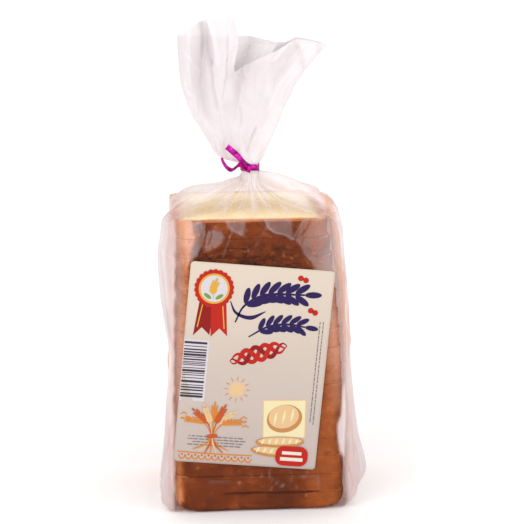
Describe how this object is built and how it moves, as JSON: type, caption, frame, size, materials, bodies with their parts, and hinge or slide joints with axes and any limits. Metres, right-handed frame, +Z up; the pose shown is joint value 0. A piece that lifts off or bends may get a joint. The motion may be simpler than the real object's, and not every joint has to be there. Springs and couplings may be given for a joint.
{
  "type": "sliced loaf in bread bag",
  "caption": "Sliced sandwich loaf standing on its end in a clear film bag, gathered and tied above it with a ribbon, with a slanted paper label on the front.",
  "frame": {"origin": "middle of the loaf's foot, on the floor", "axes": "+Z up from the foot to the bag's tied end, front with the label towards -Y, +X to the right seen from the front"},
  "size_m": [0.1302, 0.0981, 0.3038],
  "materials": {
    "bag_film": "clear film, a little milky, over browned crust",
    "label_paper": "coated paper, cream, printed in red, dark blue and orange",
    "ribbon_foil": "metallised curling ribbon, magenta"
  },
  "bodies": {
    "root": {"bag": "bag_film", "label": "label_paper", "ribbon": "ribbon_foil"}
  },
  "joints": []
}
